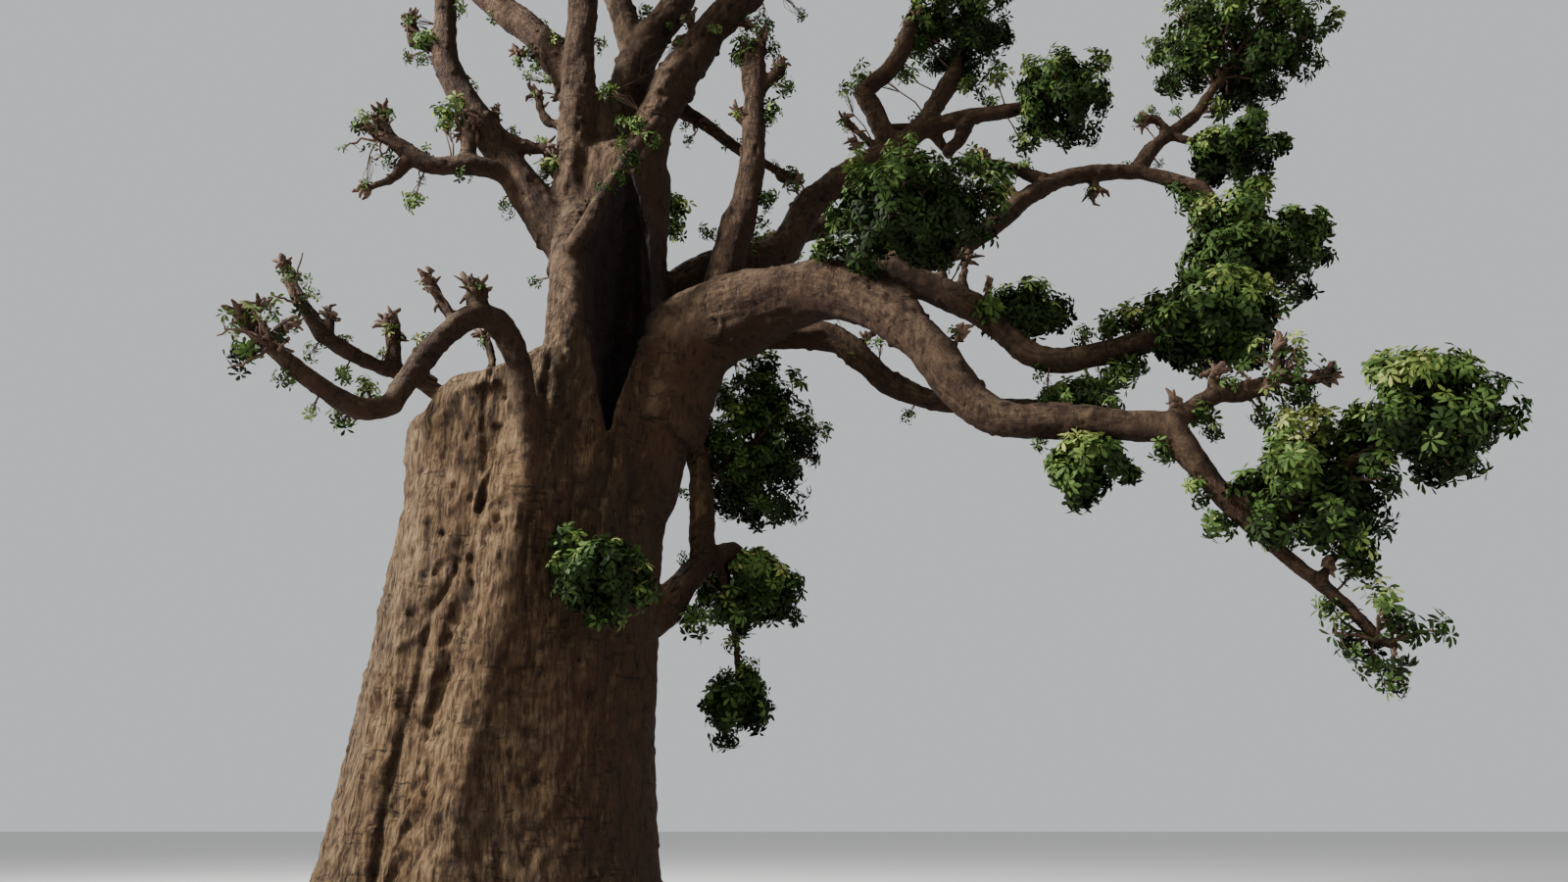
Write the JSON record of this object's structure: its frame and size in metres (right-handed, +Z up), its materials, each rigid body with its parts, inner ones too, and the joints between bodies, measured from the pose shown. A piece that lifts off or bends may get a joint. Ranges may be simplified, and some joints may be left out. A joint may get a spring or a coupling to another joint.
{
  "type": "baobab tree",
  "caption": "Rooted baobab: a stout ridged trunk with an open hollow head, heavy bent limbs cut back at their ends, and round masses of leaves.",
  "frame": {"origin": "middle of the flat cut under the trunk, at ground level", "axes": "+Z up, -Y towards the side that the picture shows, +X to the picture's right"},
  "size_m": [16.3385, 13.0555, 18.0296],
  "materials": {
    "bark": "rough, wrinkled, matt",
    "leaves": "soft, slightly waxy"
  },
  "bodies": {
    "root": {"trunk": "bark", "right_low_bough": "bark", "right_low_bend": "bark", "right_low_droop": "bark", "right_low_side": "bark", "right_outer_spur": "bark", "right_second_bough": "bark", "right_third_bough": "bark", "right_third_fork": "bark", "right_top_bough": "bark", "right_top_side": "bark", "right_back_bough": "bark", "lower_right_bough": "bark", "right_post": "bark", "front_slant_limb": "bark", "left_stem": "bark", "right_stem": "bark", "right_stem_fork": "bark", "right_crown_bough": "bark", "right_back_limb": "bark", "left_crown_bough": "bark", "left_top_bough": "bark", "left_top_side": "bark", "left_front_bough": "bark", "left_front_reach": "bark", "left_shoulder_bough": "bark", "back_low_bough": "bark", "back_high_bough": "bark", "back_right_bough": "bark", "leaves_near_clump": "leaves", "leaves_top_spray": "leaves", "leaves_top_side": "leaves", "leaves_far_top": "leaves", "leaves_far_upper": "leaves", "leaves_far_middle": "leaves", "leaves_far_lower": "leaves", "leaves_side_spray": "leaves", "leaves_outer_high": "leaves", "leaves_outer_low": "leaves", "leaves_droop_tip": "leaves", "leaves_under_bend": "leaves", "leaves_second_bough": "leaves", "leaves_back_bough": "leaves", "leaves_lower_high": "leaves", "leaves_lower_hanging": "leaves", "leaves_lower_right": "leaves", "leaves_trunk_front": "leaves", "leaves_post": "leaves", "leaves_right_crown": "leaves", "leaves_right_stem": "leaves", "leaves_left_fork": "leaves", "leaves_left_stem": "leaves", "leaves_left_crown": "leaves", "leaves_left_top": "leaves", "leaves_left_side": "leaves", "leaves_left_front": "leaves", "leaves_left_shoulder": "leaves", "leaves_back_low": "leaves", "leaves_back_high": "leaves", "leaves_back_right": "leaves"}
  },
  "joints": []
}
